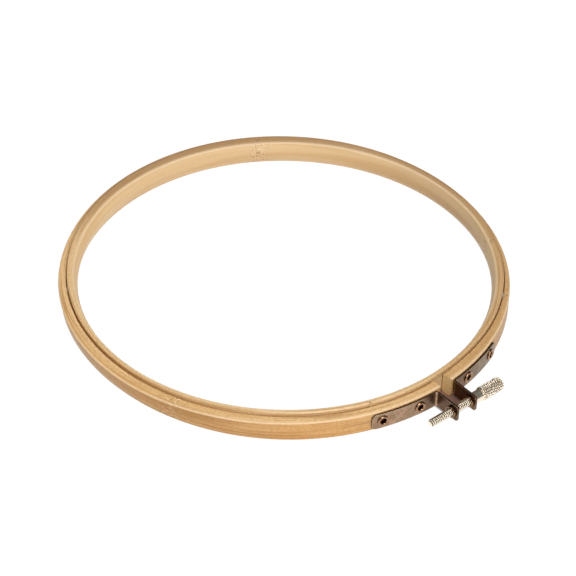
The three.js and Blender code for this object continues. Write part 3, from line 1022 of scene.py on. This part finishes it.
shank_profile = [
    (tip, 0),
    *rounded([
        (tip, tip_flat), (tip, thread_radius - tip_chamfer), (tip + tip_chamfer, thread_radius),
        (shoulder, thread_radius),
    ], tip_round),
    *rounded([
        (shoulder, thread_radius), (shoulder, shoulder_radius), (shoulder_end, shoulder_radius),
    ], shoulder_bevel),
    (shoulder_end, 0),
]
head_middle = (head_start + head_end) / 2
head_profile = [
    (head_start, 0),
    *rounded([
        (head_start, head_flat), (head_start, head_radius), (head_middle, head_radius),
    ], head_foot, 5),
    *rounded([
        (head_middle, head_radius), (head_end, head_radius), (head_end, head_flat),
    ], head_round, 8),
    (head_end, 0),
]
shank_blank = turned("shank", fine_rows(shank_profile, shank_step), shank_facets)
head_blank = turned("head", fine_rows(head_profile, head_step), head_facets)
print("blanks:", len(shank_blank.polygons), "and", len(head_blank.polygons), "faces")

# %% A tree that cuts wound grooves
groove_tree, maker, size = geometry_tree("wound grooves", {
    "Starts": FLOAT, "Lead": FLOAT, "Depth": FLOAT, "Crest": FLOAT, "Crossed": FLAG,
    "From": FLOAT, "To": FLOAT, "Fade": FLOAT, "Frame": VECTOR, "Turn": FLOAT, "Material": MATERIAL,
})
px, py, pz = maker.split(maker.node("GeometryNodeInputPosition"))
turns = pz.math("ARCTAN2", py) / (2 * math.pi)


def ridge(phase):
    """A triangle wave, 0 in the groove and 1 at the crest."""
    return 1 - ((phase.math("FRACT") - 0.5) * 2).math("ABSOLUTE")


one_way = ridge(px / size["Lead"] - turns * size["Starts"])
other_way = ridge(px / size["Lead"] + turns * size["Starts"])
both_ways = one_way.math("MINIMUM", other_way)
number = {"input_type": "FLOAT"}
ridges = maker.node("GeometryNodeSwitch", number, [size["Crossed"], one_way, both_ways])
height = (ridges * size["Crest"]).math("MINIMUM", 1.0)
begun = px.step(size["From"] - size["Fade"], size["From"])
ended = px.step(size["To"], size["To"] + size["Fade"])
depth = (1 - height) * (begun * (1 - ended))
from_axis = (py * py + pz * pz).math("SQRT")
closer = depth * size["Depth"] / from_axis.math("MAXIMUM", 0.05 * MM)
marked = maker.store(size["Geometry"], "groove", depth)
cut_in = maker.node("GeometryNodeSetPosition", {}, {
    "Geometry": marked, "Offset": maker.combine(0.0, 0.0 - py * closer, 0.0 - pz * closer),
})
placed = maker.node("GeometryNodeTransform", {}, {
    "Geometry": cut_in, "Translation": size["Frame"], "Rotation": maker.combine(0.0, 0.0, size["Turn"]),
})
end_tree(maker, placed, size["Material"])

print("groove tree:", len(groove_tree.nodes), "nodes")

# %% The thumb screw
thread = {
    "Starts": 1.0, "Lead": 1.0 * MM, "Depth": 0.45 * MM, "Crest": 1.2, "Crossed": False,
    "From": tip + 0.3 * MM, "To": shoulder - 0.9 * MM, "Fade": 0.3 * MM,
}
knurl = {
    "Starts": 21.0, "Lead": 1.22 * MM, "Depth": 0.42 * MM, "Crest": 1.5, "Crossed": True,
    "From": head_start + 0.4 * MM, "To": head_end - 0.6 * MM, "Fade": 0.35 * MM,
}
in_clamp = {"Frame": clamp_middle, "Turn": math.atan2(along.y, along.x), "Material": nickel}
shank_mesh = grow("shank", groove_tree, {**in_clamp, **thread}, shank_blank)
head_mesh = grow("head", groove_tree, {**in_clamp, **knurl}, head_blank)
bm = bmesh.new()
bm.from_mesh(shank_mesh)
bm.from_mesh(head_mesh)
screw = piece_from("thumb_screw_fine", mesh_of("thumb screw", bm), nickel, 60)
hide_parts("thumb_screw")
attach(screw, "screw")
print("thumb screw:", len(screw.data.polygons), "faces")

# %% [markdown]
# The bush is clinched into the left ear: a collar on the outside, a barrel through the hole and a
# lip rolled over on the inside. The retaining collar sits on the screw, behind the right ear.

# %% Bush and collar
bore = thread_radius + running_fit
bush_face = sheet / 2 + pressed_gap
bush_collar_wall = 0.75 * MM
bush_collar_length = 1.3 * MM
bush_lip_length = 0.4 * MM
bush_lip = bush_barrel + running_fit + 0.2 * MM
collar_wall = 0.7 * MM
collar_length = 1.2 * MM
sleeve_round = 0.14 * MM


def sleeve(name, outline, matrix, material):
    """A tube with a plain bore, turned about the screw."""
    first, last = outline[0][0], outline[-1][0]
    profile = rounded([(first, bore), *outline, (last, bore)], sleeve_round)
    mesh = turned(name, profile, sleeve_facets, tube=True)
    mesh.transform(matrix)
    return piece_from(name, mesh, material, 50)


bush = sleeve("threaded_bush_fine", [
    (-bush_face - bush_collar_length, bore + bush_collar_wall),
    (-bush_face, bore + bush_collar_wall),
    (-bush_face, bush_barrel),
    (bush_face, bush_barrel),
    (bush_face, bush_lip),
    (bush_face + bush_lip_length, bush_lip),
], clamp_frame @ Matrix.Translation((-half_spacing, 0, 0)), bronze)
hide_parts("threaded_bush")
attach(bush, "left_clamp")

collar_middle = half_spacing - sheet / 2 - running_fit - collar_length / 2
collar = sleeve("retaining_collar_fine", [
    (-collar_length / 2, bore + collar_wall),
    (collar_length / 2, bore + collar_wall),
], clamp_frame @ Matrix.Translation((collar_middle, 0, 0)), bronze)
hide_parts("retaining_collar")
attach(collar, "screw")
print("bush and collar on the screw")

# %% [markdown]
# The outer ring springs open when the screw is loosened: its left half would go with the left
# clamp while its right half stays, bending along a line from the middle of the gap to the back of
# the ring. Here the ring is placed whole and not attached to any moving body; only the hinge and
# that line are worked out.

# %% Brackets and rings in place
for side, name in ((-1, "left"), (1, "right")):
    piece = piece_from(name + "_bracket_fine", bracket_meshes[side], steel[name])
    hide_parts(name + "_bracket")
    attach(piece, "left_clamp" if side < 0 else "hoop")

inner_ring = piece_from("inner_ring_fine", inner_mesh, inner_bamboo)
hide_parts("inner_ring")
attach(inner_ring, "inner")

outer_ring = piece_from("outer_ring_fine", outer_mesh, outer_bamboo)
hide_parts("outer_ring")
hinge = Vector(joint("ring_spring")["pos_m"])
gap_middle = on_ring(outer_outside, (right_end - left_end) / 2)
back = hinge - gap_middle
back.z = 0
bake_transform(outer_ring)
print("outer ring bends at", [round(v, 4) for v in hinge])

# %% [markdown]
# The camera, and whatever mirrors the floor, sees a white surface that keeps a soft shadow, and
# the hoop itself is lit by an ordinary pale floor. Between the two ears the floor is in their
# warm brown shade.


# %% Floor
shade_half_width, shade_side_fade = 5.4 * MM, 1.6 * MM
shade_start, shade_end, shade_fade = -9.0 * MM, 8.0 * MM, 3.0 * MM
shade_share, glow_share = 0.97, 0.86


def floor_surface():
    material, maker, shader = surface("white floor")
    path = maker.node("ShaderNodeLightPath")
    seen = path.output("Is Camera Ray").math("MAXIMUM", path.output("Is Glossy Ray"))
    seen = seen.math("MAXIMUM", path.output("Is Transmission Ray"))
    x, y, _ = maker.split(maker.here(gap_middle))
    sideways = (x * along.x + y * along.y).math("ABSOLUTE")
    outwards_by = x * away.x + y * away.y
    shade = 1 - sideways.step(shade_half_width, shade_half_width + shade_side_fade)
    shade = shade * outwards_by.step(shade_start, shade_start + shade_fade)
    shade = shade * (1 - outwards_by.step(shade_end, shade_end + shade_fade))
    seen = seen * (1 - shade * shade_share)
    colour = maker.paint(tone(236, 236, 236), (shade, tone(112, 72, 50)))
    feed(maker, shader, base_color=colour, roughness=0.9)
    glow = maker.node("ShaderNodeEmission", {}, {"Color": (1, 1, 1, 1), "Strength": 1.1})
    plain = Value(maker, shader.outputs[0])
    mixed = maker.node("ShaderNodeMixShader", {}, [seen * glow_share, plain, glow])
    output = next(n for n in material.node_tree.nodes if n.type == "OUTPUT_MATERIAL")
    material.node_tree.links.new(mixed.socket, output.inputs["Surface"])
    return material


bm = bmesh.new()
bmesh.ops.create_grid(bm, x_segments=1, y_segments=1, size=6)
floor = added("floor", mesh_of("floor", bm))
floor.data.materials.append(floor_surface())
print("floor down")

# %% [markdown]
# The light is a plain studio: one large soft lamp in front on the right, a weaker one overhead and
# a faint one on the left. The studio round them is dim, and dimmer still for what mirrors it, as
# metal needs something dark to mirror. Only the camera sees it white.


# %% Light
def lamp(name, right, front, up, size, power):
    """A round soft lamp at a place counted from the middle of the hoop, which it points at."""
    data = bpy.data.lights.new(name, "AREA")
    data.shape, data.size, data.energy = "DISK", size, power
    place = right * right_of_camera - front * back_from_camera + up * UP
    light = added(name, data)
    light.location = ring_centre + place
    light.rotation_euler = (-place).to_track_quat("-Z", "Y").to_euler()


lamp("main lamp", right=0.75, front=1.35, up=1.0, size=0.8, power=18)
lamp("top lamp", right=0.0, front=0.2, up=1.3, size=0.7, power=8)
lamp("fill lamp", right=-1.2, front=0.9, up=1.2, size=1.0, power=3)

world = bpy.data.worlds.new("studio")
scene.world = world
world.use_nodes = True
maker = Maker(world.node_tree)
background = next(n for n in world.node_tree.nodes if n.type == "BACKGROUND")
path = maker.node("ShaderNodeLightPath")
dim, white, dimmer = 0.2, 1.0, 0.1
camera_ray, glossy_ray = path.output("Is Camera Ray"), path.output("Is Glossy Ray")
strength = dim + camera_ray * (white - dim) - glossy_ray * (dim - dimmer)
world.node_tree.links.new(strength.socket, background.inputs["Strength"])
background.inputs["Color"].default_value = (1, 1, 1, 1)
print("lit")
